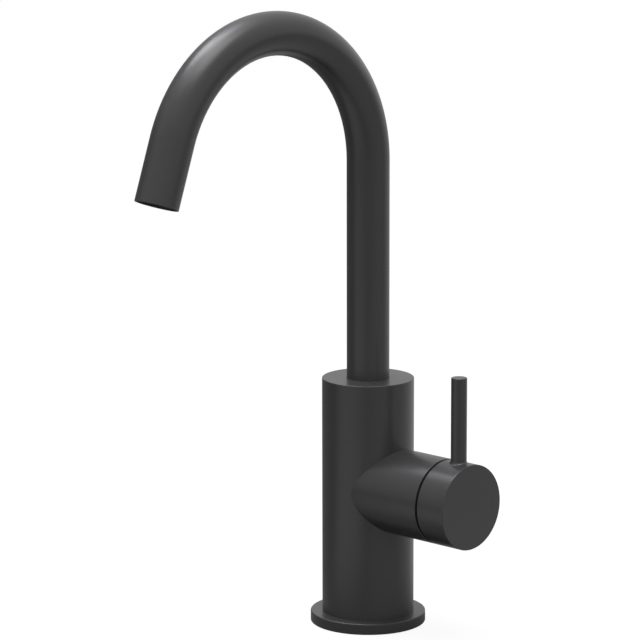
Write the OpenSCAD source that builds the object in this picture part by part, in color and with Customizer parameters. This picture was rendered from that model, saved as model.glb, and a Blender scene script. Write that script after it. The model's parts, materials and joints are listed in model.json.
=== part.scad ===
// Tall basin mixer tap: a round body with an arched spout that swivels, and a side lever
// that works a ceramic cartridge lying in the boss on the body's right.
// Millimetres, +Z up. The origin is the centre of the deck face, under the base flange.
// The spout points along -Y, and the handle's axis runs along +X.

/* [Body] */
// Outer diameter of the upright body
body_d = 48; // [47:0.5:54]
// Height of the body's flat top above the deck
body_top = 130.8; // [128:0.1:160]
// Height of the handle's axis above the deck
axis_z = 73.4; // [68:0.2:74]
// Outer diameter of the boss that holds the cartridge
boss_d = 44.4; // [43.6:0.1:47]
// Distance from the body's axis to the flat end of the boss
boss_end = 53.8; // [53.4:0.1:64]
// Thickness of metal left between the cartridge pocket and the spout's bore
web_t = 5.45; // [3:0.05:8]
// Chamfer on the coated edges that show
edge = 0.35; // [0.2:0.05:0.5]

/* [Base] */
// Outer diameter of the base flange
flange_d = 60.4; // [56:0.2:70]
// Thickness of the base flange
flange_t = 5.8; // [4:0.2:8]
// Diameter of the body's spigot, which drops into the flange
spigot_d = 44; // [43:0.5:45]
// Wall of the spigot round the hollow where the hoses come in
spigot_wall = 2; // [1.5:0.25:3]
// Space between the deck and the spigot's lower end
spigot_lift = 1; // [0.5:0.5:2]
// Height of the hollow under the body
hollow_h = 42; // [34:1:44]
// Outer diameter of the rubber seal under the flange
seal_d = 56; // [53:0.5:56]
// Width of that seal
seal_w = 3.4; // [2:0.2:3.6]
// Thickness of that seal
seal_t = 2; // [1.5:0.25:3]

/* [Water ports] */
// Wall diameter of the threaded hose ports, an M10 x 1 thread drilled for tapping
hose_thread_d = 9; // [8.5:0.1:9.4]
// Distance between the two hose ports
hose_pitch = 17; // [15:0.5:19]
// Distance of the hose ports behind the body's axis, away from the handle
hose_offset = 8; // [6:0.5:9]
// Depth of the thread in the hose ports
hose_depth = 11; // [8:1:14]
// Wall diameter of the threaded hole for the fixing stud, M8 drilled for tapping
stud_d = 6.8; // [6.4:0.1:7]
// Distance of the stud hole from the body's axis, towards the handle
stud_offset = 9; // [7:0.5:11]
// Depth of the stud hole
stud_depth = 14; // [10:1:16]
// Diameter of the drilled inlets
inlet_d = 6.6; // [5:0.2:7]
// Diameter of the drilled outlet
outlet_d = 7; // [5:0.2:7.4]
// Distance of the rising outlet from the body's axis
outlet_offset = 4.4; // [3:0.2:4.6]

/* [Spout] */
// Outer diameter of the spout's tube
tube_d = 22.2; // [20:0.1:24]
// Wall of the spout's tube
tube_wall = 1; // [0.8:0.1:1.2]
// Straight length of the tube above the body
riser_l = 114; // [80:1:160]
// Radius of the arch, at the middle of the tube
bend_r = 71.1; // [55:0.1:90]
// Angle that the arch turns through
bend_angle = 160.4; // [140:0.2:180]
// Straight length after the arch
end_l = 32.2; // [22:0.2:60]
// Depth that the tube goes into the body
tube_grip = 8.5; // [6:0.5:9]
// Angle that the spout swivels to each side
swivel = 60; // [30:5:90]
// Thickness of the washer that the spout turns on
washer_t = 1.5; // [1:0.25:2]
// Bore of the brass ferrule in the spout's foot
ferrule_bore_d = 15; // [13:0.5:15]
// Length of the ferrule inside the tube
ferrule_grip = 10; // [8:1:14]
// Thickness of the O-rings on the ferrule
oring_t = 1.8; // [1.6:0.1:2]
// Distance between the two O-rings
oring_pitch = 5; // [4:0.5:5.5]
// Diameter of the screw that holds the spout in
lock_d = 5; // [4:0.5:5]
// Diameter of that screw's tip, which runs in the ferrule's slot
lock_tip_d = 3.8; // [3:0.1:4]

/* [Outlet] */
// Length of the threaded sleeve in the spout's mouth
sleeve_l = 12; // [10:0.5:16]
// Wall of that sleeve
sleeve_wall = 1; // [0.8:0.1:1.4]
// Distance that the sleeve sits back from the spout's mouth
mouth_set = 0.6; // [0.4:0.1:1.5]
// Wall of the aerator's housing
aerator_wall = 1.4; // [1:0.1:1.8]
// Thickness of the rubber ring behind the aerator
aerator_seal_t = 1.6; // [1:0.1:2]
// Thickness of the aerator's screen
screen_t = 4; // [2:0.5:5]
// Diameter of the holes in the screen
screen_hole_d = 1.7; // [1:0.1:1.9]
// Distance between the holes in the screen
screen_pitch = 2.35; // [2.1:0.05:2.4]

/* [Handle] */
// Width of the seam between the boss and the hub
seam = 1.4; // [1.1:0.1:1.8]
// Length of the round hub
hub_l = 17.4; // [15:0.1:20]
// Diameter of the lever rod
rod_d = 8.2; // [7:0.1:9]
// Distance from the hub's front face back to the lever rod's axis
rod_back = 8.8; // [8:0.1:9.4]
// Height of the lever rod's tip above the handle's axis
rod_reach = 66.5; // [50:0.1:90]
// Depth that the rod's shoulder is let into the hub
rod_sink = 1.5; // [1:0.1:2]
// Diameter of the threaded end of the rod
rod_thread_d = 6; // [5:0.5:6]
// Length of the threaded end of the rod
rod_thread_l = 8; // [6:0.5:9]
// Angle that the lever tilts outwards to full flow
tilt = 25; // [20:1:25]
// Angle that the lever turns each way, to hot and to cold
turn = 50; // [40:5:60]
// Diameter of the grub screw that clamps the hub to the stem
grub_d = 4; // [3:0.5:4]
// Length of that grub screw
grub_l = 8; // [6:0.5:9]
// Diameter of the plug over that grub screw
plug_d = 5; // [4.5:0.1:5]
// Length of that plug
plug_l = 4.5; // [3:0.5:6]

/* [Cartridge] */
// Outer diameter of the cartridge's housing
cart_d = 34.8; // [34:0.1:35]
// Distance from the boss's flat end back to the cartridge's pivot
pivot_depth = 11.8; // [11.4:0.1:12.4]
// Thickness of the cartridge's base
base_t = 6.7; // [6:0.1:8]
// Thickness of the fixed ceramic disc
fixed_t = 3.5; // [3:0.25:4]
// Thickness of the moving ceramic disc
moving_t = 4; // [3.5:0.25:5]
// Thickness of the carrier on the moving disc
carrier_t = 5; // [4.5:0.25:6]
// Diameter of the fixed disc
fixed_d = 26; // [25:0.2:26]
// Diameter of the moving disc
moving_d = 21.4; // [21:0.1:21.8]
// Thickness of the driver's round plate
plate_t = 4.4; // [3.5:0.1:5]
// Diameter of the driver's head, which turns in the cartridge's neck
head_d = 16.6; // [16.4:0.1:18]
// Outer diameter of the cartridge's neck
neck_d = 28.4; // [26:0.2:30]
// Diameter of the pin that the stem tilts on
pin_d = 3; // [2.4:0.1:3]
// Width of the stem's square end
stem_w = 8; // [7.6:0.1:8.2]
// Distance from the pivot to the middle of the stem's ball
ball_arm = 9; // [8.6:0.1:9.4]
// Diameter of the stem's ball
ball_d = 5; // [4.6:0.1:5.2]
// Diameter of the thread that holds the cartridge's nut
nut_d = 40; // [39:0.2:40.4]
// Height of the cartridge's nut
nut_h = 6; // [5:0.25:6]
// Thickness of the front of the cover ring in the boss
cover_t = 1.6; // [1.2:0.1:2]
// Distance that the cover ring sits back from the boss's flat end
cover_set = 0.5; // [0.3:0.1:1]

/* [Clearances] */
// Radial gap of a shaft that turns in its bore
run_gap = 0.05; // [0.02:0.01:0.09]
// Gap round pieces that drop or screw into place
fit_gap = 0.1; // [0.05:0.01:0.15]
// Least gap between a moving piece and what it sweeps past
sweep_gap = 0.35; // [0.3:0.05:0.4]
// Radial gap of soldered and pressed joints
joint_gap = 0.02; // [0.01:0.01:0.04]

/* [Hidden] */
$fn = 96;

// Colours of the coat, the metals, the plastics and the ceramic
coat = "#3d3d3f";
brass = "#b5924c";
steel = "#a4a6a9";
rubber = "#1d1d1e";
white_plastic = "#e6e4dc";
grey_plastic = "#8b8d90";
ceramic = "#f1eee6";

// How far a cutting shape runs beyond the face that it cuts
past = 1;
// How far the spout's straight end laps over the arch, and how much wider it is there
end_lap = 0.5;
hair = 0.02;

// Radii of the body's outside and of its bores
body_r = body_d / 2;
boss_r = boss_d / 2;
spigot_r = spigot_d / 2;
hollow_r = spigot_r - spigot_wall;
tube_r = tube_d / 2;
spout_bore_r = tube_r + fit_gap + run_gap;
pocket_r = cart_d / 2 + 2 * fit_gap;
nut_bore_r = nut_d / 2;
inlet_r = inlet_d / 2;
outlet_r = outlet_d / 2;

// Heights along the spout's foot
spout_floor = axis_z + pocket_r + web_t;
ferrule_low = spout_floor + washer_t;
tube_low = body_top - tube_grip;
land_r = spout_bore_r - run_gap;
land_w = 2.2;
groove_r = land_r - oring_t;
groove_play = 1;
groove_h = oring_t + groove_play;
oring_foot = 4;
oring_z = [ferrule_low + oring_foot, ferrule_low + oring_foot + oring_pitch];
lock_z = oring_z[1] + groove_h / 2 + lock_tip_d / 2 + land_w;
lock_step = 0.5;
lock_inset = 1.2;
guide_low = lock_z + lock_tip_d / 2 + land_w;
guide_t = 1.1;
washer_clear = 0.6;

// The arch: its centre, and the middle of the spout's mouth
bend_z = body_top + riser_l;
bend_end = [-bend_r + bend_r * cos(bend_angle), bend_z + bend_r * sin(bend_angle)];
mouth = bend_end + end_l * [-sin(bend_angle), cos(bend_angle)];
tube_bore_r = tube_r - tube_wall;
sleeve_r = tube_bore_r - joint_gap;
sleeve_lip_t = 1;
thread_r = sleeve_r - sleeve_wall;
aerator_r = thread_r - run_gap;
aerator_low = mouth_set + 0.3;
aerator_high = mouth_set + sleeve_l - sleeve_lip_t - aerator_seal_t;
screen_r = aerator_r - aerator_wall;
screen_low = mouth_set + 1.6;
lip_r = screen_r - 0.5;

// Places along the handle's axis, counted from the cartridge's pivot towards the hub
pivot_x = boss_end - pivot_depth;
head_low = -3;
slide_gap = sweep_gap + 0.1;
plate_low = head_low - plate_t;
carrier_high = plate_low - slide_gap;
carrier_low = carrier_high - carrier_t;
moving_low = carrier_low - moving_t;
fixed_low = moving_low - fixed_t;
base_low = fixed_low - base_t;
base_rim_t = 2.5;
disc_seat = 1.5;
roof_low = head_low + sweep_gap;
roof_t = 2.5;
shoulder = roof_low + roof_t;
nut_high = shoulder + nut_h;
neck_high = nut_high - 0.2;
head_high = neck_high + 0.6;
blade_low = -4.5;
stem_square_low = (head_high + sweep_gap + stem_w / 2 * sin(tilt)) / cos(tilt);
cover_high = pivot_depth - cover_set;
hub_low = pivot_depth + seam;
hub_high = hub_low + hub_l;
rod_z = hub_high - rod_back;
stem_high = hub_high - 1.75;
stem_play = 0.2;
grub_z = stem_high - 2;
grub_tip_l = 0.8;
plug_set = 0.4;
rod_thread_play = 0.5;

// Widths inside the cartridge
cart_r = cart_d / 2;
cart_wall = 2.3;
cart_bore_r = cart_r - cart_wall;
base_top_r = cart_bore_r - fit_gap;
head_r = head_d / 2;
pin_inset = 0.4;
rib_gap = 0.3;
rib_depth = 1.4;
plate_r = cart_bore_r - rib_depth - rib_gap;
key_r = cart_bore_r - 0.2;
key_half = 12;
stop_play = 1.5;
rest_half = turn + key_half + stop_play;
stem_thick = 5;
stem_blade = 6;
ball_neck_r = 2;
cheek_in = moving_d / 2 - 1.7;
cheek_lift = 0.5;
carrier_half = cheek_in - sweep_gap;
socket_r = ball_d / 2 + slide_gap;
socket_play = 0.4;
peg_r = 1.4;
peg_l = 1.5;
peg_wall = 0.4;
peg_reach = carrier_half - peg_r - peg_wall;
locator_r = 2;
locator_l = 3;
locator_play = 0.3;
locator_at = [9, 11.5];

// Ports, as [towards the deck, sideways]: where the body and the cartridge's base meet,
// and where the base meets the fixed disc
body_inlets = [[-4, hose_pitch / 2], [-4, -hose_pitch / 2]];
body_outlet = [6, 0];
disc_inlets = [[-4, 6], [-4, -6]];
disc_outlet = [5.5, 0];
disc_inlet_r = 2.5;
disc_outlet_r = 2.8;
seal_wall = 1.6;
disc_seal_wall = 1.2;
mix_r = 5.2;
mix_at = [3.9, 0];
mix_depth = 2.2;
port_lap = 0.5;

// The hub's inside: a column round the stem, and a relief that clears the boss when it tilts
hub_r = boss_r;
column_r = 8;
column_low = (pivot_depth + column_r * sin(tilt)) / cos(tilt) + sweep_gap;
boss_edge_reach = max(norm([pivot_depth, boss_r - edge]), norm([pivot_depth - edge, boss_r]));
relief_r = boss_edge_reach + sweep_gap;
relief_play = 0.2;
relief_top = (pivot_depth + sweep_gap - hub_low * cos(tilt)) / sin(tilt) + relief_play;
cover_hole_r = norm([cover_high * tan(tilt) + stem_w / 2 / cos(tilt), stem_w / 2]) + sweep_gap;
rod_seat = hub_r - rod_sink;
rod_r = rod_d / 2;

// A solid of revolution from its half section, as [radius, height] points
module turned(points) {
    rotate_extrude() polygon(points);
}

module ring(r_in, r_out, low, high) {
    turned([[r_in, low], [r_out, low], [r_out, high], [r_in, high]]);
}

// A straight round cut or pin between two heights
module round_bar(r, low, high) {
    translate([0, 0, low]) cylinder(r = r, h = high - low);
}

// A box given by its limits along x, y and z
module block(x, y, z) {
    translate([x[0], y[0], z[0]]) cube([x[1] - x[0], y[1] - y[0], z[1] - z[0]]);
}

// Puts children on the handle's axis: local z runs outwards from the pivot, local -x is up
module on_axis() {
    translate([pivot_x, 0, axis_z]) rotate([0, 90, 0]) children();
}

// Puts children on the lever rod's axis, with local z running up from the handle's axis
module on_rod() {
    on_axis() translate([0, 0, rod_z]) rotate([0, -90, 0]) children();
}

// Puts children on the hub's grub screw, with local z running down from the handle's axis
module on_grub() {
    on_axis() translate([0, 0, grub_z]) rotate([0, 90, 0]) children();
}

// Puts children on the spout's lock screw, with local z running back from the body's axis
module on_lock() {
    translate([0, 0, lock_z]) rotate([-90, 0, 0]) children();
}

// Puts children in the spout's mouth, with local z running back into the tube
module in_mouth() {
    translate([0, mouth[0], mouth[1]]) rotate([bend_angle - 180, 0, 0]) children();
}

module at_ports(places) {
    for (p = places) translate([p[0], p[1], 0]) children();
}

module body_casting() {
    color(coat) difference() {
        union() {
            turned([[0, flange_t], [body_r, flange_t], [body_r, body_top - edge],
                    [body_r - edge, body_top], [0, body_top]]);
            round_bar(spigot_r, spigot_lift, flange_t + past);
            on_axis() turned([[0, -pivot_x], [boss_r, -pivot_x], [boss_r, pivot_depth - edge],
                              [boss_r - edge, pivot_depth], [0, pivot_depth]]);
        }
        hose_hollow();
        spout_bore();
        cartridge_pocket();
        waterways();
        on_lock() round_bar(lock_d / 2, 0, body_r + past);
    }
}

module hose_hollow() {
    round_bar(hollow_r, spigot_lift - past, hollow_h);
    for (side = [-1, 1]) translate([-hose_offset, side * hose_pitch / 2, 0])
        round_bar(hose_thread_d / 2, hollow_h - past, hollow_h + hose_depth);
    translate([stud_offset, 0, 0]) round_bar(stud_d / 2, hollow_h - past, hollow_h + stud_depth);
}

module spout_bore() {
    round_bar(spout_bore_r, spout_floor, body_top + past);
}

module cartridge_pocket() {
    on_axis() {
        round_bar(pocket_r, base_low, shoulder);
        round_bar(nut_bore_r, shoulder - past, pivot_depth + past);
        for (side = [-1, 1]) translate([locator_at[0], side * locator_at[1], 0])
            round_bar(locator_r + fit_gap, base_low - locator_l - locator_play, base_low + past);
    }
}

// Two inlets rise from the hose ports to the cartridge, and one outlet rises to the spout
module waterways() {
    inlet_z = axis_z - body_inlets[0][0];
    outlet_z = axis_z - body_outlet[0];
    for (side = [-1, 1]) translate([-hose_offset, side * hose_pitch / 2, 0])
        round_bar(inlet_r, hollow_h, inlet_z + inlet_r);
    on_axis() at_ports(body_inlets)
        round_bar(inlet_r, -pivot_x - hose_offset - inlet_r, base_low + past);
    translate([outlet_offset, 0, 0]) round_bar(outlet_r, outlet_z - outlet_r, spout_floor + past);
    on_axis() at_ports([body_outlet])
        round_bar(outlet_r, -pivot_x + outlet_offset - outlet_r, base_low + past);
}

module base_flange() {
    flange_r = flange_d / 2;
    color(coat) difference() {
        turned([[spigot_r + fit_gap, 0], [flange_r - edge, 0], [flange_r, edge],
                [flange_r, flange_t - edge], [flange_r - edge, flange_t],
                [spigot_r + fit_gap, flange_t]]);
        ring(seal_d / 2 - seal_w - fit_gap, seal_d / 2 + fit_gap, -past, seal_t);
    }
}

module base_seal() {
    color(rubber) ring(seal_d / 2 - seal_w, seal_d / 2, 0, seal_t);
}

module spout_thrust_washer() {
    color(white_plastic) ring(outlet_offset + outlet_r + washer_clear, spout_bore_r - fit_gap,
                              spout_floor, ferrule_low);
}

// A headless screw with a hexagon socket, from its tip's end to its outer face
module headless_screw(r, tip_r, tip_low, body_low, high) {
    hexagon_r = r * 0.58;
    hexagon_depth = r * 1.4;
    difference() {
        union() {
            round_bar(tip_r, tip_low, body_low + past);
            round_bar(r, body_low, high);
        }
        translate([0, 0, high - hexagon_depth])
            cylinder(r = hexagon_r, h = hexagon_depth + past, $fn = 6);
    }
}

module spout_lock_screw() {
    color(steel) on_lock() headless_screw(
        lock_d / 2 - run_gap, lock_tip_d / 2, groove_r + sweep_gap, land_r + lock_step,
        body_r - lock_inset);
}

// The cartridge's base carries the water from the body's ports to the fixed disc's ports
module cartridge_base() {
    color(grey_plastic) on_axis() difference() {
        union() {
            round_bar(cart_r - fit_gap, base_low, base_low + base_rim_t);
            round_bar(base_top_r, base_low, fixed_low + disc_seat);
            for (side = [-1, 1]) translate([locator_at[0], side * locator_at[1], 0])
                round_bar(locator_r, base_low - locator_l, base_low + past);
        }
        round_bar(fixed_d / 2 + fit_gap, fixed_low, fixed_low + disc_seat + past);
        port_pair(inlet_r, disc_inlet_r, body_inlets, disc_inlets);
        port_pair(outlet_r, disc_outlet_r, [body_outlet], [disc_outlet]);
    }
}

// Stepped passages, with a seat for a seal at both ends
module port_pair(r_low, r_high, places_low, places_high) {
    middle = (base_low + fixed_low) / 2;
    at_ports(places_low) {
        round_bar(r_low, base_low - past, middle);
        round_bar(r_low + seal_wall + fit_gap, base_low - past, base_low + seal_wall);
    }
    at_ports(places_high) {
        round_bar(r_high, middle - port_lap, fixed_low + past);
        round_bar(r_high + disc_seal_wall + fit_gap, fixed_low - disc_seal_wall, fixed_low + past);
    }
}

module inlet_seals() {
    color(rubber) on_axis() {
        at_ports(body_inlets) ring(inlet_r, inlet_r + seal_wall, base_low, base_low + seal_wall);
        at_ports([body_outlet])
            ring(outlet_r, outlet_r + seal_wall, base_low, base_low + seal_wall);
    }
}

module disc_seals() {
    low = fixed_low - disc_seal_wall;
    color(rubber) on_axis() {
        at_ports(disc_inlets) ring(disc_inlet_r, disc_inlet_r + disc_seal_wall, low, fixed_low);
        at_ports([disc_outlet])
            ring(disc_outlet_r, disc_outlet_r + disc_seal_wall, low, fixed_low);
    }
}

module fixed_disc() {
    color(ceramic) on_axis() difference() {
        round_bar(fixed_d / 2, fixed_low, moving_low);
        at_ports(disc_inlets) round_bar(disc_inlet_r, fixed_low - past, moving_low + past);
        at_ports([disc_outlet]) round_bar(disc_outlet_r, fixed_low - past, moving_low + past);
    }
}

// The housing keeps the driver in, and a rib on its inner wall ends the driver's turn
module cartridge_housing() {
    neck_r = neck_d / 2;
    rib_r = cart_bore_r - rib_depth;
    color(white_plastic) on_axis() {
        difference() {
            union() {
                round_bar(cart_r, base_low + base_rim_t, shoulder);
                round_bar(neck_r, shoulder - past, neck_high);
            }
            round_bar(cart_bore_r, base_low + base_rim_t - past, roof_low);
            round_bar(head_r + run_gap, roof_low - past, neck_high + past);
        }
        rotate([0, 0, 180 + rest_half]) rotate_extrude(angle = 360 - 2 * rest_half)
            polygon([[rib_r, plate_low], [cart_bore_r + past / 2, plate_low],
                     [cart_bore_r + past / 2, roof_low], [rib_r, roof_low]]);
    }
}

module cartridge_nut() {
    nut_r = nut_bore_r - fit_gap;
    bore_r = neck_d / 2 + 2 * fit_gap;
    notch_w = 4;
    notch_h = 2.5;
    notch_l = 3.2;
    color(brass) on_axis() difference() {
        ring(bore_r, nut_r, shoulder, nut_high);
        for (i = [0:5]) rotate([0, 0, 60 * i])
            block([bore_r - past, bore_r + notch_l], [-notch_w / 2, notch_w / 2],
                  [nut_high - notch_h, nut_high + past]);
    }
}

// A cup-shaped ring that hides the nut and closes the boss round the stem
module cover_ring() {
    r_out = nut_bore_r - 2 * fit_gap;
    skirt_t = 1.6;
    skirt_r = r_out - skirt_t;
    color(coat) on_axis() turned([
        [skirt_r, nut_high], [r_out, nut_high], [r_out, cover_high - edge],
        [r_out - edge, cover_high], [cover_hole_r, cover_high],
        [cover_hole_r, cover_high - cover_t], [skirt_r, cover_high - cover_t]
    ]);
}

// The driver turns with the lever, and its slot lets the stem tilt
module cartridge_driver() {
    color(grey_plastic) on_axis() difference() {
        union() {
            round_bar(plate_r, plate_low, head_low);
            round_bar(head_r, head_low - past, head_high);
            rotate([0, 0, 180 - key_half]) rotate_extrude(angle = 2 * key_half)
                polygon([[plate_r - past, plate_low], [key_r, plate_low],
                         [key_r, head_low], [plate_r - past, head_low]]);
            driver_cheeks();
        }
        stem_slot();
        rotate([90, 0, 0]) round_bar(pin_d / 2, -head_r - past, head_r + past);
    }
}

// Two cheeks below the driver's plate, between which the disc's carrier slides
module driver_cheeks() {
    for (side = [-1, 1]) intersection() {
        round_bar(plate_r, carrier_low + cheek_lift, plate_low + past / 2);
        translate([0, side * (cheek_in + plate_r), 0])
            block([-plate_r / 2, plate_r / 2], [-plate_r, plate_r],
                  [carrier_low, plate_low + past]);
    }
}

// The space that the stem's blade sweeps as it tilts: a bow-tie section, cut across
module stem_slot() {
    half = stem_thick / 2 + sweep_gap;
    leant = half / cos(tilt);
    up = head_high + past;
    down = -plate_low + past;
    width = stem_blade + 2 * sweep_gap;
    rotate([90, 0, 0]) translate([0, 0, -width / 2]) linear_extrude(width) polygon([
        [-half, up], [-leant, 0], [-leant - down * tan(tilt), -down],
        [half, -down], [leant, 0], [leant + up * tan(tilt), up]
    ]);
}

module pivot_pin() {
    color(steel) on_axis() rotate([90, 0, 0]) round_bar(pin_d / 2, -head_r + pin_inset,
                                                   head_r - pin_inset);
}

// The moving disc has a blind hollow that joins the inlets to the outlet as it slides
module moving_disc() {
    color(ceramic) on_axis() difference() {
        round_bar(moving_d / 2, moving_low, carrier_low);
        at_ports([mix_at]) round_bar(mix_r, moving_low - past, moving_low + mix_depth);
        for (side = [-1, 1]) translate([0, side * peg_reach, 0])
            round_bar(peg_r + fit_gap, carrier_low - peg_l - fit_gap, carrier_low + past);
    }
}

module disc_carrier() {
    color(white_plastic) on_axis() difference() {
        union() {
            intersection() {
                round_bar(moving_d / 2, carrier_low, carrier_high);
                block([-moving_d, moving_d], [-carrier_half, carrier_half],
                      [carrier_low - past, carrier_high + past]);
            }
            for (side = [-1, 1]) translate([0, side * peg_reach, 0])
                round_bar(peg_r, carrier_low - peg_l, carrier_low + past);
        }
        round_bar(socket_r, -ball_arm - ball_d / 2 - socket_play, carrier_high + past);
    }
}

// The stem: a ball in the carrier, a blade on the pivot pin and a square end in the hub
module cartridge_stem() {
    color(brass) on_axis() difference() {
        union() {
            translate([0, 0, -ball_arm]) sphere(d = ball_d);
            round_bar(ball_neck_r, -ball_arm, blade_low + past);
            block([-stem_thick / 2, stem_thick / 2], [-stem_blade / 2, stem_blade / 2],
                  [blade_low, stem_square_low + past]);
            block([-stem_w / 2, stem_w / 2], [-stem_w / 2, stem_w / 2],
                  [stem_square_low, stem_high]);
        }
        rotate([90, 0, 0]) round_bar(pin_d / 2 + run_gap, -stem_w, stem_w);
    }
}

module handle_hub() {
    color(coat) difference() {
        on_axis() difference() {
            turned([[0, hub_low], [hub_r - edge, hub_low], [hub_r, hub_low + edge],
                    [hub_r, hub_high - edge], [hub_r - edge, hub_high], [0, hub_high]]);
            hub_relief();
            block([-stem_w / 2 - run_gap, stem_w / 2 + run_gap],
                  [-stem_w / 2 - run_gap, stem_w / 2 + run_gap],
                  [hub_low - past, stem_high + stem_play]);
        }
        on_rod() {
            round_bar(rod_thread_d / 2 + run_gap, rod_seat - rod_thread_l - rod_thread_play,
                      rod_seat + past);
            round_bar(rod_r + fit_gap, rod_seat, hub_r + past);
            rod_countersink();
        }
        on_grub() {
            round_bar(grub_d / 2, stem_w / 2, hub_r + past);
            round_bar(plug_d / 2 + run_gap, hub_r - plug_l - plug_set, hub_r + past);
        }
    }
}

// Above the relief's flat top the hub stays solid, to hold the lever rod's thread
module hub_relief() {
    difference() {
        intersection() {
            sphere(r = relief_r);
            block([-relief_top, relief_r], [-relief_r, relief_r], [hub_low - past, relief_r]);
        }
        round_bar(column_r, column_low, relief_r + past);
    }
    translate([0, 0, hub_low - past]) cylinder(r = column_r, h = column_low - hub_low + past);
}

// A small flare where the lever rod enters the hub
module rod_countersink() {
    mouth_r = rod_r + fit_gap;
    low = sqrt(pow(hub_r, 2) - pow(mouth_r, 2)) - edge;
    translate([0, 0, low]) cylinder(r1 = mouth_r, r2 = mouth_r + past, h = past);
}

module lever_rod() {
    color(coat) on_rod() {
        turned([[0, rod_seat], [rod_r, rod_seat], [rod_r, rod_reach - edge],
                [rod_r - edge, rod_reach], [0, rod_reach]]);
        round_bar(rod_thread_d / 2, rod_seat - rod_thread_l, rod_seat + past);
    }
}

module handle_grub_screw() {
    color(steel) on_grub() headless_screw(
        grub_d / 2 - run_gap, grub_d / 3, stem_w / 2, stem_w / 2 + grub_tip_l,
        stem_w / 2 + grub_l);
}

module grub_screw_plug() {
    color(coat) on_grub() round_bar(plug_d / 2, hub_r - plug_l, hub_r - plug_set);
}

// The spout's line as a solid bar: riser, arch and straight end. The straight end is a hair
// wider and laps over the arch, so that the two meet in a true ring.
module spout_bar(r, extra) {
    round_bar(r, tube_low - extra, bend_z);
    translate([0, -bend_r, bend_z]) rotate([90, 0, 90])
        rotate_extrude(angle = bend_angle) translate([bend_r, 0]) circle(r);
    in_mouth() round_bar(r + hair, -extra, end_l + end_lap);
}

module spout_tube() {
    color(coat) difference() {
        spout_bar(tube_r, 0);
        spout_bar(tube_bore_r, past);
    }
}

// The ferrule turns in the body's bore, and the slot round it stops the swivel
module spout_ferrule() {
    slot_half = swivel + asin((lock_tip_d / 2 + sweep_gap) / groove_r);
    slot_h = lock_tip_d + 2 * sweep_gap;
    grip_r = tube_bore_r - joint_gap;
    color(brass) difference() {
        union() {
            round_bar(land_r, ferrule_low, tube_low);
            round_bar(grip_r, tube_low - past, tube_low + ferrule_grip);
        }
        round_bar(ferrule_bore_d / 2, ferrule_low - past, tube_low + ferrule_grip + past);
        for (z = oring_z) ring(groove_r, land_r + past, z - groove_h / 2, z + groove_h / 2);
        ring(land_r - guide_t, land_r + past, guide_low, tube_low - past);
        rotate([0, 0, 90 - slot_half]) rotate_extrude(angle = 2 * slot_half)
            polygon([[groove_r, lock_z - slot_h / 2], [land_r + past, lock_z - slot_h / 2],
                     [land_r + past, lock_z + slot_h / 2], [groove_r, lock_z + slot_h / 2]]);
    }
}

module spout_o_rings() {
    color(rubber) for (z = oring_z) translate([0, 0, z])
        rotate_extrude() translate([land_r - oring_t / 2, 0]) circle(d = oring_t);
}

module spout_guide_ring() {
    color(white_plastic)
        ring(land_r - guide_t, land_r, guide_low + fit_gap, tube_low - past - fit_gap);
}

module outlet_sleeve() {
    high = mouth_set + sleeve_l;
    color(coat) in_mouth() turned([
        [thread_r, mouth_set], [sleeve_r, mouth_set], [sleeve_r, high],
        [lip_r, high], [lip_r, high - sleeve_lip_t], [thread_r, high - sleeve_lip_t]
    ]);
}

// Two slots in the housing's lower end take the key that unscrews it
module aerator_housing() {
    slot_w = 1.6;
    slot_h = 1.2;
    color(coat) in_mouth() difference() {
        ring(screen_r, aerator_r, aerator_low, aerator_high);
        for (i = [0:1]) rotate([0, 0, 180 * i]) block([screen_r - past, aerator_r + past],
            [-slot_w / 2, slot_w / 2], [aerator_low - past, aerator_low + slot_h]);
    }
}

// A round screen with rings of holes at one spacing
module aerator_screen() {
    high = screen_low + screen_t;
    color(coat) in_mouth() difference() {
        round_bar(screen_r - joint_gap, screen_low, high);
        round_bar(screen_hole_d / 2, screen_low - past, high + past);
        for (k = [1:2]) for (i = [0:6 * k - 1]) rotate([0, 0, i * 60 / k])
            translate([k * screen_pitch, 0, 0])
                round_bar(screen_hole_d / 2, screen_low - past, high + past);
    }
}

module aerator_seal() {
    color(rubber) in_mouth()
        ring(lip_r, thread_r - fit_gap, aerator_high, aerator_high + aerator_seal_t);
}

body_casting();
base_flange();
base_seal();
spout_thrust_washer();
spout_lock_screw();
cartridge_base();
inlet_seals();
fixed_disc();
disc_seals();
cartridge_housing();
cartridge_nut();
cover_ring();
cartridge_driver();
pivot_pin();
moving_disc();
disc_carrier();
cartridge_stem();
handle_hub();
lever_rod();
handle_grub_screw();
grub_screw_plug();
spout_tube();
spout_ferrule();
spout_o_rings();
spout_guide_ring();
outlet_sleeve();
aerator_housing();
aerator_screen();
aerator_seal();
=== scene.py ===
"""The basin mixer tap's looks: its coated skin, every piece's finish, the lamps and the camera."""
import json
import math
import bpy
from mathutils import Matrix, Vector


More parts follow.
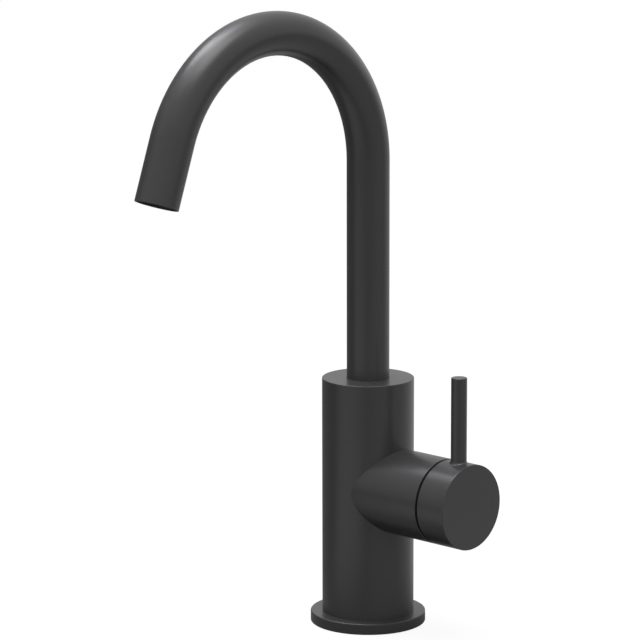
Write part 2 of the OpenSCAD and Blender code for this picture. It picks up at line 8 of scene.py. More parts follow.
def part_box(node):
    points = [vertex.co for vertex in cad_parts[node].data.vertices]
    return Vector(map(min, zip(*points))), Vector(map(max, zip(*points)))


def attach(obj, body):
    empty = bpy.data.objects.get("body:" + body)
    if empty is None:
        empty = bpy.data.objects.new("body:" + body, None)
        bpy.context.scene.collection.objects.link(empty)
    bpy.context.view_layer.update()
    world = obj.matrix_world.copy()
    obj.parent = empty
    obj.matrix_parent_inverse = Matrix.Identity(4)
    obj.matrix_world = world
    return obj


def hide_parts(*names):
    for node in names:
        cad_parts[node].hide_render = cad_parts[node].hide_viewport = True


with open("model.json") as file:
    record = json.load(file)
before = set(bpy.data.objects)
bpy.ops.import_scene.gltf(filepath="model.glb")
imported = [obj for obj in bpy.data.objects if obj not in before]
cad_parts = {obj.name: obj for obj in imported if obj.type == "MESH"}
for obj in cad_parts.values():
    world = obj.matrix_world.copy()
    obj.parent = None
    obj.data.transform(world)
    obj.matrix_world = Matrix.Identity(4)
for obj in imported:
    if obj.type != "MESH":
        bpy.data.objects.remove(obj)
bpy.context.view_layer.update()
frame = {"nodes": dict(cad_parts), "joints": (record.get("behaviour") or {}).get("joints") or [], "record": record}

MM = 0.001
SCENE = bpy.context.scene
NODES = frame["nodes"]

# The camera, as fitted to the photograph: degrees, millimetres of lens, and metres. The small
# roll shares out what is left between its uprights, which the photograph shows quite parallel.
AZIMUTH = 44.341
ELEVATION = 11.127
LENS = 193.0
SENSOR = 36.0
DISTANCE = 1.81249
AIM_RIGHT = -0.024962
AIM_UP = 0.158081
ROLL = -0.132

# How round meshes are divided, and where faces meet in a crease
EDGE_STEPS = 10
ROUND_STEPS = 256
HOLE_STEPS = 96
TUBE_STEPS = 128
BEND_STEPS = 150
CREASE_ANGLE = math.radians(12)
# How strongly large faces set the shading beside a fillet, from 1 to 100
FACE_WEIGHT = 100
# A radius below this is a point on the axis
ON_AXIS_BELOW = 1e-9
# How far a cutting shape runs beyond the face that it cuts
PAST = 1 * MM


def make_camera():
    """The photograph's camera, and the ways to its right and back, for placing the light."""
    azimuth, elevation = math.radians(AZIMUTH), math.radians(ELEVATION)
    back = Vector((math.sin(azimuth) * math.cos(elevation),
                   -math.cos(azimuth) * math.cos(elevation), math.sin(elevation)))
    right = Vector((math.cos(azimuth), math.sin(azimuth), 0))
    up = back.cross(right)
    data = bpy.data.cameras.new("camera")
    data.lens = LENS
    data.sensor_width = SENSOR
    camera = bpy.data.objects.new("camera", data)
    SCENE.collection.objects.link(camera)
    place = right * AIM_RIGHT + up * AIM_UP + back * DISTANCE
    roll = Matrix.Rotation(math.radians(ROLL), 3, back)
    turned = Matrix((roll @ right, roll @ up, back)).transposed().to_4x4()
    camera.matrix_world = Matrix.Translation(place) @ turned
    SCENE.camera = camera
    return right, back


# Meshes

def new_piece(name, points, faces):
    """A mesh object from points in metres."""
    mesh = bpy.data.meshes.new(name)
    mesh.from_pydata(points, [], faces)
    mesh.update()
    piece = bpy.data.objects.new(name, mesh)
    SCENE.collection.objects.link(piece)
    return piece


def rounded(corners):
    """A closed half section from (radius, height, fillet) corners, with each fillet as an arc."""
    outline = []
    for i, (radius, height, fillet) in enumerate(corners):
        here = Vector((radius, height))
        if not fillet:
            outline.append(here)
            continue
        before = (Vector(corners[i - 1][:2]) - here).normalized()
        after = (Vector(corners[(i + 1) % len(corners)][:2]) - here).normalized()
        half = before.angle(after) / 2
        centre = here + (before + after).normalized() * fillet / math.sin(half)
        start = here + before * fillet / math.tan(half) - centre
        end = here + after * fillet / math.tan(half) - centre
        first = math.atan2(start.y, start.x)
        sweep = math.atan2(start.x * end.y - start.y * end.x, start.dot(end))
        for k in range(EDGE_STEPS + 1):
            angle = first + sweep * k / EDGE_STEPS
            outline.append(centre + fillet * Vector((math.cos(angle), math.sin(angle))))
    return outline


def lathe(name, corners, steps=ROUND_STEPS):
    """A solid of revolution round Z from (radius, height, fillet) corners, which run
    anticlockwise from the lower inner end. A corner on the axis becomes a single point."""
    points, rings = [], []
    for radius, height in rounded(corners):
        if radius < ON_AXIS_BELOW:
            rings.append([len(points)] * steps)
            points.append((0, 0, height))
            continue
        rings.append(list(range(len(points), len(points) + steps)))
        for k in range(steps):
            angle = 2 * math.pi * k / steps
            points.append((radius * math.cos(angle), radius * math.sin(angle), height))
    return new_piece(name, points, ring_faces(rings))


def ring_faces(rings):
    """Faces between each ring of point numbers and the next, and from the last to the first."""
    faces = []
    for low, high in zip(rings, rings[1:] + rings[:1]):
        if low[0] == low[1] and high[0] == high[1]:
            continue
        for k in range(len(low)):
            j = (k + 1) % len(low)
            face = dict.fromkeys((low[k], low[j], high[j], high[k]))
            faces.append(list(face))
    return faces


def bar(radius, low, high, steps=HOLE_STEPS):
    """A plain round bar along Z, used to cut holes."""
    return lathe("cutter", [(0, low, 0), (radius, low, 0), (radius, high, 0), (0, high, 0)], steps)


def block(x, y, z):
    """A box given by its limits along x, y and z, used to cut."""
    points = [(a, b, c) for a in x for b in y for c in z]
    faces = [(0, 1, 3, 2), (4, 6, 7, 5), (0, 4, 5, 1), (2, 3, 7, 6), (0, 2, 6, 4), (1, 5, 7, 3)]
    return new_piece("cutter", points, faces)


def ball(radius, steps=ROUND_STEPS):
    """A round ball at the origin, as a turned half circle, used to cut."""
    corners = []
    for k in range(steps // 2 + 1):
        angle = -math.pi / 2 + 2 * math.pi * k / steps
        reach = 0 if k in (0, steps // 2) else radius * math.cos(angle)
        corners.append((reach, radius * math.sin(angle), 0))
    return lathe("cutter", corners, steps)


def placed(piece, matrix):
    """Moves a piece's mesh, and leaves its object at the origin."""
    piece.data.transform(matrix)
    piece.data.update()
    return piece


def apply_modifiers(piece):
    """Turns what the modifiers make of a piece into its own mesh."""
    evaluated = piece.evaluated_get(bpy.context.evaluated_depsgraph_get())
    mesh = bpy.data.meshes.new_from_object(evaluated)
    old = piece.data
    piece.modifiers.clear()
    piece.data = mesh
    bpy.data.meshes.remove(old)
    mesh.name = piece.name


def combine(piece, operation, *others):
    """Joins, cuts or intersects a piece with others, which then go."""
    for other in others:
        modifier = piece.modifiers.new("combine", "BOOLEAN")
        modifier.operation = operation
        modifier.solver = "EXACT"
        modifier.object = other
    apply_modifiers(piece)
    for other in others:
        bpy.data.meshes.remove(other.data)


def finished(piece, body, replaced):
    """Shades a piece smooth with crisp creases. It rides on its body, and stands for the node
    that it replaces, with that node's slot."""
    piece.data.polygons.foreach_set("use_smooth", [True] * len(piece.data.polygons))
    piece.data.set_sharp_from_angle(angle=CREASE_ANGLE)
    modifier = piece.modifiers.new("normals", "WEIGHTED_NORMAL")
    modifier.keep_sharp = True
    modifier.weight = FACE_WEIGHT
    apply_modifiers(piece)
    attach(piece, body)
    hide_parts(replaced)
    return piece


# Sizes that the frame gives, in metres: the lower and the upper corner of a node's box

BODY_LOW, BODY_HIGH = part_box("body_casting")
FLANGE_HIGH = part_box("base_flange")[1]
SEAL_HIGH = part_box("base_seal")[1]
TUBE_LOW, TUBE_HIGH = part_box("spout_tube")
FERRULE_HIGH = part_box("spout_ferrule")[1]
WASHER_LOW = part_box("spout_thrust_washer")[0]
LOCK_LOW, LOCK_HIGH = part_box("spout_lock_screw")
HOUSING_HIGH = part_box("cartridge_housing")[1]
NUT_LOW, NUT_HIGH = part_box("cartridge_nut")
CARTRIDGE_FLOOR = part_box("inlet_seals")[0].x
STEM_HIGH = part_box("cartridge_stem")[1]
HUB_LOW, HUB_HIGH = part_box("handle_hub")
ROD_LOW, ROD_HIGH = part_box("lever_rod")
GRUB_LOW, GRUB_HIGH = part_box("handle_grub_screw")
PLUG_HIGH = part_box("grub_screw_plug")[1]
JOINTS = {joint["name"]: joint for joint in frame["joints"]}
MOUNTS = {mount["name"]: mount for mount in frame["record"]["mounts"]}

# The body and the flange. The screw that holds the spout is at LOCK_Z, on the body's back.
BODY_R = BODY_HIGH.y
FLANGE_R = FLANGE_HIGH.x
SPIGOT_R = 22 * MM
SPIGOT_WALL = 2 * MM
SEAL_W = 3.4 * MM
BOSS_END = BODY_HIGH.x
LOCK_Z = (LOCK_LOW.z + LOCK_HIGH.z) / 2
BODY_HOLES = ("hot_hose_port", "cold_hose_port", "stud_hole")

# The hub and the rod, which turn and tilt about PIVOT. The rod's shank ends ROD_SINK deep.
HUB_R = HUB_HIGH.y
PIVOT = Vector(JOINTS["flow_tilt"]["pos_m"])
TILT = math.radians(JOINTS["flow_tilt"]["range_deg"][1])
ROD_X = (ROD_LOW.x + ROD_HIGH.x) / 2
ROD_R = ROD_HIGH.y
ROD_THREAD_R = 3 * MM
ROD_SINK = 1.5 * MM
ROD_SEAT = HUB_R - ROD_SINK
GRUB_X = (GRUB_LOW.x + GRUB_HIGH.x) / 2
COLUMN_R = 8 * MM

# The spout's tube: up from its foot, round the arch, and straight on to its mouth
TUBE_R = TUBE_HIGH.y
TUBE_WALL = 1 * MM
BEND_R = 71.1 * MM
BEND_ANGLE = math.radians(160.4)
BEND_Z = TUBE_HIGH.z - BEND_R - TUBE_R
RISER_L = BEND_Z - TUBE_LOW.z
ARCH_L = BEND_R * BEND_ANGLE
END_L = 32.2 * MM

# Gaps, as in the construction: of a turning fit, of a fixed fit and of a swept path
RUN_GAP = 0.05 * MM
FIT_GAP = 0.1 * MM
SWEEP_GAP = 0.35 * MM

# Rounding of the coated edges
BODY_EDGE = 0.35 * MM
FLANGE_EDGE = 0.6 * MM
BOSS_EDGE = 0.35 * MM
HUB_EDGE = 0.4 * MM
ROD_EDGE = 0.35 * MM
ROD_FOOT = 1.1 * MM
MOUTH_EDGE = 0.25 * MM

# Turns a piece made along Z so that it lies on the handle's axis, from the body's or the pivot
ON_AXIS = Matrix.Translation((0, 0, PIVOT.z)) @ Matrix.Rotation(math.pi / 2, 4, "Y")
ON_PIVOT = Matrix.Translation(PIVOT) @ Matrix.Rotation(math.pi / 2, 4, "Y")


def hole_mount(name):
    """Where a threaded hole under the body is, its radius, and its lower and upper end."""
    mount = MOUNTS[name]
    x, y, z = mount["pos_m"]
    radius, length = mount["dims"]["r_mm"] * MM, mount["dims"]["length_mm"] * MM
    return x, y, radius, z - length / 2, z + length / 2


def make_body():
    """The upright body with its boss, hollow where the casting is hollow."""
    body = lathe("body_skin", [
        (0, BODY_LOW.z, 0), (SPIGOT_R, BODY_LOW.z, 0), (SPIGOT_R, FLANGE_HIGH.z, 0),
        (BODY_R, FLANGE_HIGH.z, 0), (BODY_R, BODY_HIGH.z, BODY_EDGE), (0, BODY_HIGH.z, 0)])
    boss = placed(lathe("boss", [
        (0, 0, 0), (HUB_R, 0, 0), (HUB_R, BOSS_END, BOSS_EDGE), (0, BOSS_END, 0)]), ON_AXIS)
    combine(body, "UNION", boss)
    # The threaded holes open into the hollow of the spigot
    cutters = []
    for name in BODY_HOLES:
        x, y, radius, hollow_top, high = hole_mount(name)
        hole = bar(radius, hollow_top - PAST, high)
        cutters.append(placed(hole, Matrix.Translation((x, y, 0))))
    cutters.append(bar(SPIGOT_R - SPIGOT_WALL, BODY_LOW.z - PAST, hollow_top, ROUND_STEPS))
    # The spout's bore, the cartridge's pocket, the nut's thread and the lock screw's hole
    cutters.append(bar(FERRULE_HIGH.x + RUN_GAP, WASHER_LOW.z, BODY_HIGH.z + PAST, ROUND_STEPS))
    pocket_r = HOUSING_HIGH.y + 2 * FIT_GAP
    nut_r = NUT_HIGH.y + FIT_GAP
    cutters.append(placed(bar(pocket_r, CARTRIDGE_FLOOR, NUT_LOW.x + PAST, ROUND_STEPS), ON_AXIS))
    cutters.append(placed(bar(nut_r, NUT_LOW.x, BOSS_END + PAST, ROUND_STEPS), ON_AXIS))
    on_lock = Matrix.Translation((0, 0, LOCK_Z)) @ Matrix.Rotation(-math.pi / 2, 4, "X")
    cutters.append(placed(bar(LOCK_HIGH.x + RUN_GAP, 0, BODY_R + PAST), on_lock))
    combine(body, "DIFFERENCE", *cutters)
    return finished(body, "body", "body_casting")


def make_flange():
    """The thin round foot, open in the middle, with the seal's groove under it."""
    bore = SPIGOT_R + FIT_GAP
    groove_in = SEAL_HIGH.x - SEAL_W - FIT_GAP
    groove_out = SEAL_HIGH.x + FIT_GAP
    flange = lathe("flange_skin", [
        (bore, 0, 0), (groove_in, 0, 0), (groove_in, SEAL_HIGH.z, 0), (groove_out, SEAL_HIGH.z, 0),
        (groove_out, 0, 0), (FLANGE_R, 0, FLANGE_EDGE), (FLANGE_R, FLANGE_HIGH.z, FLANGE_EDGE),
        (bore, FLANGE_HIGH.z, 0)])
    return finished(flange, "body", "base_flange")


def on_spout(along):
    """The point of the spout's middle line at a length along it from the tube's foot, and the
    direction across the tube, away from the arch's centre."""
    angle = min(max(along - RISER_L, 0), ARCH_L) / BEND_R
    outwards = Vector((0, math.cos(angle), math.sin(angle)))
    onwards = Vector((0, -math.sin(angle), math.cos(angle)))
    straight = min(along - RISER_L, 0) + max(along - RISER_L - ARCH_L, 0)
    centre = Vector((0, -BEND_R, BEND_Z))
    return centre + outwards * BEND_R + onwards * straight, outwards


def make_spout():
    """The spout's bent tube, with a softened lip round its mouth."""
    whole = RISER_L + ARCH_L + END_L
    stops = [0, RISER_L / 2] + [RISER_L + ARCH_L * k / BEND_STEPS for k in range(BEND_STEPS + 1)]
    stops.append(whole - END_L / 2)
    inner = TUBE_R - TUBE_WALL
    section = [(TUBE_R, along, 0) for along in stops]
    section += [(TUBE_R, whole, MOUTH_EDGE), (inner, whole, MOUTH_EDGE)]
    section += [(inner, along, 0) for along in reversed(stops)]
    points, rings = [], []
    for radius, along in rounded(section):
        centre, outwards = on_spout(along)
        rings.append(list(range(len(points), len(points) + TUBE_STEPS)))
        for k in range(TUBE_STEPS):
            angle = 2 * math.pi * k / TUBE_STEPS
            sideways = Vector((-math.sin(angle), 0, 0))
            points.append(centre + radius * (math.cos(angle) * outwards + sideways))
    tube = new_piece("spout_skin", points, ring_faces(rings))
    return finished(tube, "spout", "spout_tube")


def make_hub():
    """The round hub: a column round the stem, and a relief that clears the boss as it tilts."""
    low, high = HUB_LOW.x - PIVOT.x, HUB_HIGH.x - PIVOT.x
    hub = lathe("hub_skin", [
        (0, low, 0), (HUB_R, low, BOSS_EDGE), (HUB_R, high, HUB_EDGE), (0, high, 0)])
    boss_reach = BOSS_END - PIVOT.x
    relief_r = math.hypot(boss_reach, HUB_R) + SWEEP_GAP
    relief_top = (boss_reach + 2 * SWEEP_GAP - low * math.cos(TILT)) / math.sin(TILT)
    column_low = (boss_reach + COLUMN_R * math.sin(TILT)) / math.cos(TILT) + SWEEP_GAP
    relief = ball(relief_r)
    far = 2 * relief_r
    combine(relief, "INTERSECT", block((-relief_top, far), (-far, far), (low - PAST, far)))
    combine(relief, "DIFFERENCE", bar(COLUMN_R, column_low, far))
    combine(hub, "DIFFERENCE", relief)
    combine(hub, "DIFFERENCE", bar(COLUMN_R, low - PAST, column_low))
    # The stem's square socket
    half = STEM_HIGH.y + RUN_GAP
    socket_top = STEM_HIGH.x - PIVOT.x + SWEEP_GAP / 2
    socket = block((-half, half), (-half, half), (low - PAST, socket_top))
    combine(hub, "DIFFERENCE", socket)
    placed(hub, ON_PIVOT)
    # The rod's hole above, and the hole of the grub screw and its plug below
    up = Matrix.Translation((ROD_X, 0, PIVOT.z))
    thread_low = ROD_LOW.z - PIVOT.z - SWEEP_GAP
    down = Matrix.Translation((GRUB_X, 0, PIVOT.z)) @ Matrix.Rotation(math.pi, 4, "X")
    plug_low = PIVOT.z - PLUG_HIGH.z - SWEEP_GAP
    combine(
        hub, "DIFFERENCE",
        placed(bar(ROD_THREAD_R + RUN_GAP, thread_low, HUB_R), up),
        placed(bar(ROD_R + FIT_GAP, ROD_SEAT, HUB_R + PAST), up),
        placed(bar(GRUB_HIGH.y + RUN_GAP, STEM_HIGH.y, HUB_R), down),
        placed(bar(PLUG_HIGH.y + RUN_GAP, plug_low, HUB_R + PAST), down))
    return finished(hub, "handle", "handle_hub")


def make_rod():
    """The slim lever rod, with its threaded end in the hub, and a rounded foot on the hub."""
    low, top = ROD_LOW.z - PIVOT.z, ROD_HIGH.z - PIVOT.z
    foot_r = ROD_R + ROD_FOOT + FIT_GAP
    rod = lathe("rod_skin", [
        (0, low, 0), (ROD_THREAD_R, low, 0), (ROD_THREAD_R, ROD_SEAT, 0), (ROD_R, ROD_SEAT, 0),
        (ROD_R, HUB_R - ROD_FOOT / 2, 0), (foot_r, HUB_R - FIT_GAP / 2, 0), (foot_r, HUB_R, 0),
        (ROD_R, HUB_R, ROD_FOOT), (ROD_R, top, ROD_EDGE), (0, top, 0)])
    # The foot is let down onto the hub's round side, and the rod above it stays straight
    for point in rod.data.vertices:
        if point.co.z > ROD_SEAT + FIT_GAP:
            drop = HUB_R - math.sqrt(HUB_R ** 2 - point.co.y ** 2)
            point.co.z -= drop * min(max((HUB_R + ROD_FOOT - point.co.z) / ROD_FOOT, 0), 1)
    placed(rod, Matrix.Translation((ROD_X, 0, PIVOT.z)))
    return finished(rod, "handle", "lever_rod")


# Materials

def ranged(nodes, links, value, low, high):
    """A value from 0 to 1, spread between two levels, which are numbers or sockets."""
    node = nodes.new("ShaderNodeMapRange")
    for socket, level in (("To Min", low), ("To Max", high)):
        if isinstance(level, (int, float)):
            node.inputs[socket].default_value = level
        else:
            links.new(level, node.inputs[socket])
    links.new(value, node.inputs["Value"])
    return node.outputs["Result"]


# The length of one wave of Blender's wave texture at a scale of 1
WAVE = math.pi / 10
# How unsteady a lathe tool's marks are
TOOL_WOBBLE = 0.8


class Finish:
    """A procedural material: its shader, and the patterns in real sizes that feed it."""

    def __init__(self, name, **values):
        self.material = bpy.data.materials.new(name)
        self.material.use_nodes = True
        self.nodes = self.material.node_tree.nodes
        self.links = self.material.node_tree.links
        self.shader = self.nodes["Principled BSDF"]
        self.place = self.nodes.new("ShaderNodeTexCoord").outputs["Object"]
        for socket, value in values.items():
            self.shader.inputs[socket.replace("_", " ")].default_value = value

    def noise(self, size, detail, roughness=0.5, stretch=None):
        """A noise whose grains are size across, in metres, from 0 to 1."""
        node = self.nodes.new("ShaderNodeTexNoise")
        node.inputs["Scale"].default_value = 1 / size
        node.inputs["Detail"].default_value = detail
        node.inputs["Roughness"].default_value = roughness
        place = self.place
        if stretch:
            mapping = self.nodes.new("ShaderNodeMapping")
            mapping.inputs["Scale"].default_value = stretch
            self.links.new(self.place, mapping.inputs["Vector"])
            place = mapping.outputs["Vector"]
        self.links.new(place, node.inputs["Vector"])
        return node.outputs["Fac"]

    def cells(self, size):
        """Distance from the nearest of many scattered points, size apart."""
        node = self.nodes.new("ShaderNodeTexVoronoi")
        node.inputs["Scale"].default_value = 1 / size
        self.links.new(self.place, node.inputs["Vector"])
        return node.outputs["Distance"]

    def turned(self, pitch, along, centre):
        """The fine marks of a lathe tool about an axis through a point: lines round the sides,
        and rings on the ends."""
        mapping = self.nodes.new("ShaderNodeMapping")
        mapping.inputs["Location"].default_value = [-c for c in centre]
        self.links.new(self.place, mapping.inputs["Vector"])
        marks = []
        for kind in ("BANDS", "RINGS"):
            node = self.nodes.new("ShaderNodeTexWave")
            node.wave_type = kind
            node.bands_direction = node.rings_direction = along
            node.inputs["Scale"].default_value = WAVE / pitch
            node.inputs["Distortion"].default_value = TOOL_WOBBLE
            node.inputs["Detail"].default_value = 2
            self.links.new(mapping.outputs["Vector"], node.inputs["Vector"])
            marks.append(node.outputs["Fac"])
        return marks

    def colour(self, value, dark, light):
        """The base colour goes between two, as a value goes from 0 to 1."""
        node = self.nodes.new("ShaderNodeMix")
        node.data_type = "RGBA"
        node.inputs["A"].default_value = (*dark, 1)
        node.inputs["B"].default_value = (*light, 1)
        self.links.new(value, node.inputs["Factor"])
        self.links.new(node.outputs["Result"], self.shader.inputs["Base Color"])

    def gloss(self, value, low, high):
        """The roughness goes between two, as a value goes from 0 to 1."""
        roughness = ranged(self.nodes, self.links, value, low, high)
        self.links.new(roughness, self.shader.inputs["Roughness"])

    def bump(self, *layers):
        """Stacks relief layers, each a pattern and its depth in metres."""
        normal = None
        for value, depth in layers:
            node = self.nodes.new("ShaderNodeBump")
            node.inputs["Distance"].default_value = depth
            self.links.new(value, node.inputs["Height"])
            if normal:
                self.links.new(normal, node.inputs["Normal"])
            normal = node.outputs["Normal"]
        self.links.new(normal, self.shader.inputs["Normal"])


def near(colour, share):
    """A colour made lighter or darker by a share."""
    return tuple(c * share for c in colour)


# Powder coat: the sizes of its patterns, the depths of its relief, and how far tone and
# roughness go to each side
COAT_CLOUD = 18 * MM
COAT_FLECK = 0.35 * MM
COAT_PEEL = 1.6 * MM
COAT_GRAIN = 0.4 * MM
PEEL_DEPTH = 0.012 * MM
GRAIN_DEPTH = 0.008 * MM
COAT_SHIFT = 0.06
COAT_SPREAD = 0.04

# The roughness of plastic, rubber and turned metal goes this far to each side
SPREAD = 0.06

# Moulded pieces: the size of their flow marks, and how these are drawn out
FLOW_MARKS = 6 * MM
FLOW_STRETCH = (1, 1, 0.4)

# Lapped ceramic: specks of grain with their darkest tone, and hairlines with their depth and the
# roughness that they make
SPECK = 0.25 * MM
SPECK_TONE = 0.93
LAP_LINES = 0.08 * MM
LAP_STRETCH = (1, 0.1, 1)
LAP_DEPTH = 0.001 * MM
LAP_ROUGHNESS = (0.08, 0.2)

# Turned metal: how far apart and how deep the tool's lines are, and the clouds in its polish with
# their darkest and lightest tone
TOOL_PITCH = 0.12 * MM
TOOL_DEPTH = 0.003 * MM
POLISH_CLOUD = 5 * MM
POLISH_TONES = (0.93, 1.05)


def coat_finish(name, colour, roughness, specular):
    """Matt powder coat: a fine grain over a faint orange peel, with slightly uneven gloss."""
    finish = Finish(name, Specular_IOR_Level=specular)
    cloud = finish.noise(COAT_CLOUD, detail=3)
    fleck = finish.noise(COAT_FLECK, detail=1)
    finish.colour(cloud, near(colour, 1 - COAT_SHIFT), near(colour, 1 + COAT_SHIFT))
    finish.gloss(fleck, roughness - COAT_SPREAD, roughness + COAT_SPREAD)
    peel = finish.noise(COAT_PEEL, detail=1)
    grain = finish.noise(COAT_GRAIN, detail=2, roughness=0.6)
    finish.bump((peel, PEEL_DEPTH), (grain, GRAIN_DEPTH))
    return finish.material


def moulded_finish(name, colour, roughness, fleck, shift, depth):
    """Moulded plastic or rubber: slow flow marks in its tone, and a fine grain from the mould."""
    finish = Finish(name, Specular_IOR_Level=0.5)
    flow = finish.noise(FLOW_MARKS, detail=3, stretch=FLOW_STRETCH)
    finish.colour(flow, near(colour, 1 - shift), near(colour, 1 + shift))
    grain = finish.noise(fleck, detail=2, roughness=0.6)
    finish.gloss(grain, roughness - SPREAD, roughness + SPREAD)
    finish.bump((grain, depth))
    return finish.material


def ceramic_finish(name, colour):
    """Lapped alumina: glossy, with faint specks of its grain and hairlines from the lapping."""
    finish = Finish(name, Specular_IOR_Level=0.6)
    finish.colour(finish.cells(SPECK), near(colour, SPECK_TONE), colour)
    lines = finish.noise(LAP_LINES, detail=2, stretch=LAP_STRETCH)
    finish.gloss(lines, *LAP_ROUGHNESS)
    finish.bump((lines, LAP_DEPTH))
    return finish.material


def turned_finish(name, colour, roughness, along, centre):
    """Turned metal: a tool's fine lines round an axis, and a slightly uneven polish."""
    finish = Finish(name, Metallic=1.0)
    lines, rings = finish.turned(TOOL_PITCH, along, centre)
    cloud = finish.noise(POLISH_CLOUD, detail=3)
    finish.colour(cloud, *(near(colour, tone) for tone in POLISH_TONES))
    finish.gloss(cloud, roughness - SPREAD, roughness + SPREAD)
    finish.bump((lines, TOOL_DEPTH), (rings, TOOL_DEPTH))
    return finish.material


# Colours, as linear light
COAT = (0.038, 0.038, 0.0395)
TRIM = (0.02, 0.02, 0.021)
RUBBER = (0.012, 0.012, 0.013)
ACETAL = (0.78, 0.77, 0.72)
GLASS_FILLED = (0.26, 0.27, 0.28)
BLACK_PLASTIC = (0.02, 0.02, 0.021)
ALUMINA = (0.86, 0.84, 0.78)
BRASS = (0.72, 0.52, 0.25)
STEEL = (0.6, 0.6, 0.61)

# The coated slots, and the colour, the roughness and the specular level of their coat and of the
# trim's, which is on the cover ring in the seam and on the sleeve in the spout's mouth
COATED = ("black_coat", "black_coat_flange", "black_coat_handle", "black_coat_spout")
COAT_LOOK = (COAT, 0.31, 0.5)
TRIM_LOOK = (TRIM, 0.5, 0.3)
# Moulded slots: the material's name, its colour, roughness, grain's size, shift of tone and depth
MOULDED = {
    "rubber": ("moulded_rubber", RUBBER, 0.6, 0.3 * MM, 0.15, 0.01 * MM),
    "white_plastic": ("white_acetal", ACETAL, 0.4, 0.4 * MM, 0.02, 0.004 * MM),
    "grey_plastic": ("glass_filled_plastic", GLASS_FILLED, 0.55, 0.2 * MM, 0.1, 0.01 * MM),
    "black_plastic": ("black_plastic", BLACK_PLASTIC, 0.5, 0.3 * MM, 0.1, 0.006 * MM),
}
# Turned slots: colour and roughness
METALS = {"brass": (BRASS, 0.28), "steel": (STEEL, 0.3)}
# The axis that each turned piece was turned about: upright, unless it is named here
UPRIGHT = ("Z", (0, 0, 0))
TURNED_ALONG = {
    "cartridge_nut": ("X", PIVOT), "cartridge_stem": ("X", PIVOT), "pivot_pin": ("Y", PIVOT),
    "spout_lock_screw": ("Y", (0, 0, LOCK_Z)), "handle_grub_screw": ("Z", (GRUB_X, 0, 0)),
}


def make_finishes():
    """One finish for each of the record's slots, apart from the turned metals."""
    made = {slot: coat_finish(slot, *COAT_LOOK) for slot in COATED}
    made["black_coat_trim"] = coat_finish("black_coat_trim", *TRIM_LOOK)
    for slot, look in MOULDED.items():
        made[slot] = moulded_finish(*look)
    made["ceramic"] = ceramic_finish("lapped_ceramic", ALUMINA)
    return made


def paint(piece, material):
    """Gives a piece one material."""
    if not piece.material_slots:
        piece.data.materials.append(material)
    for place in piece.material_slots:
        place.material = material


def paint_all(skins, nodes):
    """Paints each skin and each CAD node from its slot. Each turned piece has its own axis."""
    made = make_finishes()
    slots = {part["node"]: part["material_slot"] for part in frame["record"]["subparts"]}
    for skin, slot in skins.items():
        paint(skin, made[slot])
    for name, node in nodes.items():
        slot = slots[name]
        if slot in METALS:
            axis = TURNED_ALONG.get(name, UPRIGHT)
            paint(node, turned_finish("turned_" + name, *METALS[slot], *axis))
        else:
            paint(node, made[slot])


# The floor, the world and the lamps

# The plain level of light that the surroundings give the tap
AMBIENT = 0.7
# The plain level of the floor's painted glow, which only reflections see although the floor is no lamp, and the
# share of the camera's white that reflections see in floor and surroundings
FLOOR_REFLECTED_GLOW = 0.06
SEEN_BY_GLOSS = 0.06
# The floor's colour, and its glow to the camera near the tap and at FAR_FLOOR, which makes it
# white together with the lamps' light. Lengths are in metres, and FLOOR_REACH is half its width.
FLOOR_TONE = 0.09
FLOOR_GLOW = 0.905
FAR_GLOW = 0.94
FAR_FLOOR = 4
FLOOR_REACH = 30

# The point that the lamps and the patches are placed about, by degrees right of the camera's
# line and up from the floor
STUDIO_CENTRE = Vector((0, -0.04, 0.17))
# Soft round lamps overhead: the two angles, the distance and the width in metres, and the power
# in watts. Those at the back are slightly cool.
LAMPS = {
    "overhead_lamp": (0, 90, 1.5, 1.5, 5.6),
    "back_high_lamp": (-140, 80, 1.5, 0.6, 4.2),
    "back_left_lamp": (-144, 67, 1.5, 0.9, 3.0),
    "boss_lamp": (-125, 62, 1.5, 0.6, 5.6),
    "front_right_lamp": (30, 72, 1.5, 0.9, 6.6),
    "left_lamp": (-60, 72, 1.5, 0.9, 2.5),
}
BACK_LAMPS = ("back_high_lamp", "back_left_lamp", "boss_lamp")
BACK_TINT = (0.96, 0.945, 1)
PLAIN_TINT = (1, 1, 1)
# Soft broad patches of the surroundings' light, lighter or darker than the plain level, which the floor's glow
# also has as painted reflections: the two angles, half the width in degrees, and the change of level
PATCHES = {
    "dark_back_left": (-130, -9, 60, -0.62),
    "light_left": (-56, -36, 50, 0.54),
    "light_right": (60, -34, 48, 0.4),
    "light_back_right": (134, -21, 49, 0.5),
    "light_front": (2, -24, 44, 0.13),
}


def direction(right, back, turn, rise):
    """A way from the tap: degrees right of the camera's line, and degrees up from the floor."""
    turn, rise = math.radians(turn), math.radians(rise)
    ahead = Vector((back.x, back.y, 0)).normalized()
    level = math.sin(turn) * right + math.cos(turn) * ahead
    return level * math.cos(rise) + Vector((0, 0, math.sin(rise)))


def vector_math(nodes, links, operation, first, second=None):
    """A vector node of one operation, on a socket and, where it takes two, a plain vector."""
    node = nodes.new("ShaderNodeVectorMath")
    node.operation = operation
    links.new(first, node.inputs[0])
    if second is not None:
        node.inputs[1].default_value = second
    return node


def seen_as_white(nodes, links):
    """1 for what the camera sees straight or through glass, and a share of it in reflections."""
    path = nodes.new("ShaderNodeLightPath")
    share = nodes.new("ShaderNodeMath")
    share.operation = "MULTIPLY"
    share.inputs[1].default_value = SEEN_BY_GLOSS
    links.new(path.outputs["Is Glossy Ray"], share.inputs[0])
    seen = share.outputs[0]
    for ray in ("Is Camera Ray", "Is Transmission Ray"):
        most = nodes.new("ShaderNodeMath")
        most.operation = "MAXIMUM"
        links.new(path.outputs[ray], most.inputs[0])
        links.new(seen, most.inputs[1])
        seen = most.outputs[0]
    return seen


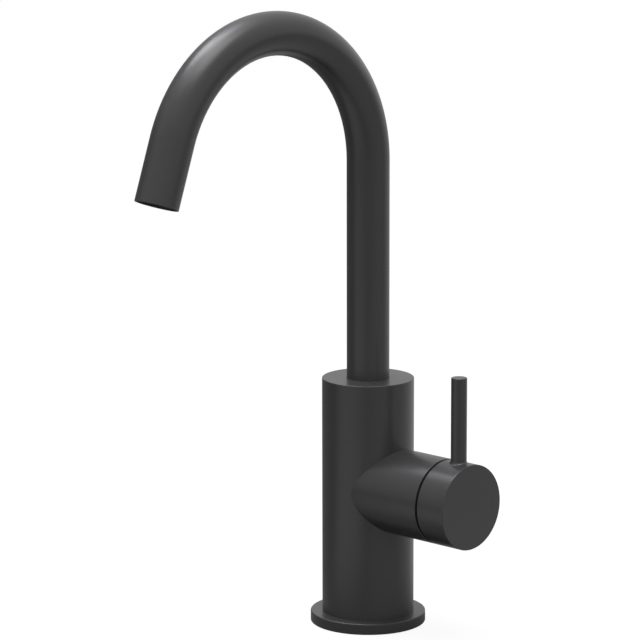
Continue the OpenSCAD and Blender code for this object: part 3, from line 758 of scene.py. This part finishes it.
def with_patches(nodes, links, way, plain, right, back):
    """A plain level with the lighter and darker patches, by the way from the tap."""
    level = None
    for turn, rise, half_width, change in PATCHES.values():
        middle = direction(right, back, turn, rise)
        dot = vector_math(nodes, links, "DOT_PRODUCT", way, middle)
        patch = nodes.new("ShaderNodeMapRange")
        patch.interpolation_type = "SMOOTHSTEP"
        patch.inputs["From Min"].default_value = math.cos(math.radians(half_width))
        patch.inputs["To Max"].default_value = change
        links.new(dot.outputs["Value"], patch.inputs["Value"])
        total = nodes.new("ShaderNodeMath")
        links.new(patch.outputs["Result"], total.inputs[0])
        if level:
            links.new(level, total.inputs[1])
        else:
            total.inputs[1].default_value = plain
        level = total.outputs[0]
    return level


def make_floor(right, back):
    """A plain floor that shows white to the camera and keeps a soft shadow, and shows reflections a painted glow
    with lighter and darker patches.
    """
    far = FLOOR_REACH
    corners = [(-far, -far, 0), (far, -far, 0), (far, far, 0), (-far, far, 0)]
    floor = new_piece("floor", corners, [(0, 1, 2, 3)])
    made = bpy.data.materials.new("floor")
    made.use_nodes = True
    nodes, links = made.node_tree.nodes, made.node_tree.links
    shader = nodes["Principled BSDF"]
    shader.inputs["Base Color"].default_value = (FLOOR_TONE, FLOOR_TONE, FLOOR_TONE, 1)
    shader.inputs["Roughness"].default_value = 1
    shader.inputs["Specular IOR Level"].default_value = 0
    shader.inputs["Emission Color"].default_value = (1, 1, 1, 1)
    place = nodes.new("ShaderNodeTexCoord").outputs["Object"]
    way = vector_math(nodes, links, "SUBTRACT", place, STUDIO_CENTRE).outputs["Vector"]
    unit = vector_math(nodes, links, "NORMALIZE", way).outputs["Vector"]
    # Painted reflection: only reflections see the floor's glow, at its plain level with the lighter and darker
    # patches, though the floor is no lamp
    reflected_glow = nodes.new("ShaderNodeMath")
    reflected_glow.operation = "MULTIPLY"
    reflected_glow.use_clamp = True
    links.new(with_patches(nodes, links, unit, FLOOR_REFLECTED_GLOW, right, back), reflected_glow.inputs[0])
    links.new(nodes.new("ShaderNodeLightPath").outputs["Is Glossy Ray"], reflected_glow.inputs[1])
    # Away from the lamps the floor gets less light, and glows a little more to stay white
    far_off = vector_math(nodes, links, "LENGTH", way).outputs["Value"]
    share = nodes.new("ShaderNodeMapRange")
    share.inputs["From Max"].default_value = FAR_FLOOR
    share.inputs["To Min"].default_value = FLOOR_GLOW
    share.inputs["To Max"].default_value = FAR_GLOW
    links.new(far_off, share.inputs["Value"])
    white = share.outputs["Result"]
    # The floor's glow: white to the camera, and the painted glow with its patches to reflections
    glow = ranged(nodes, links, seen_as_white(nodes, links), reflected_glow.outputs[0], white)
    links.new(glow, shader.inputs["Emission Strength"])
    floor.data.materials.append(made)


def make_world(right, back):
    """Plain surroundings with soft lighter and darker patches, and pure white to the camera."""
    world = bpy.data.worlds.new("studio")
    SCENE.world = world
    world.use_nodes = True
    nodes, links = world.node_tree.nodes, world.node_tree.links
    background = nodes["Background"]
    background.inputs["Color"].default_value = (1, 1, 1, 1)
    way = nodes.new("ShaderNodeTexCoord").outputs["Generated"]
    level = with_patches(nodes, links, way, AMBIENT, right, back)
    strength = ranged(nodes, links, seen_as_white(nodes, links), level, 1)
    links.new(strength, background.inputs["Strength"])


def make_lamps(right, back):
    """The soft lamps, which face the tap."""
    for name, (turn, rise, distance, width, power) in LAMPS.items():
        way = direction(right, back, turn, rise)
        data = bpy.data.lights.new(name, "AREA")
        data.shape = "DISK"
        data.size = width
        data.energy = power
        data.color = BACK_TINT if name in BACK_LAMPS else PLAIN_TINT
        lamp = bpy.data.objects.new(name, data)
        lamp.location = STUDIO_CENTRE + way * distance
        lamp.rotation_euler = way.to_track_quat("Z", "Y").to_euler()
        SCENE.collection.objects.link(lamp)


camera_right, camera_back = make_camera()
paint_all({
    make_body(): "black_coat", make_flange(): "black_coat_flange", make_spout(): "black_coat_spout",
    make_hub(): "black_coat_handle", make_rod(): "black_coat_handle"}, NODES)
make_floor(camera_right, camera_back)
make_world(camera_right, camera_back)
make_lamps(camera_right, camera_back)
SCENE.view_settings.view_transform = "Standard"
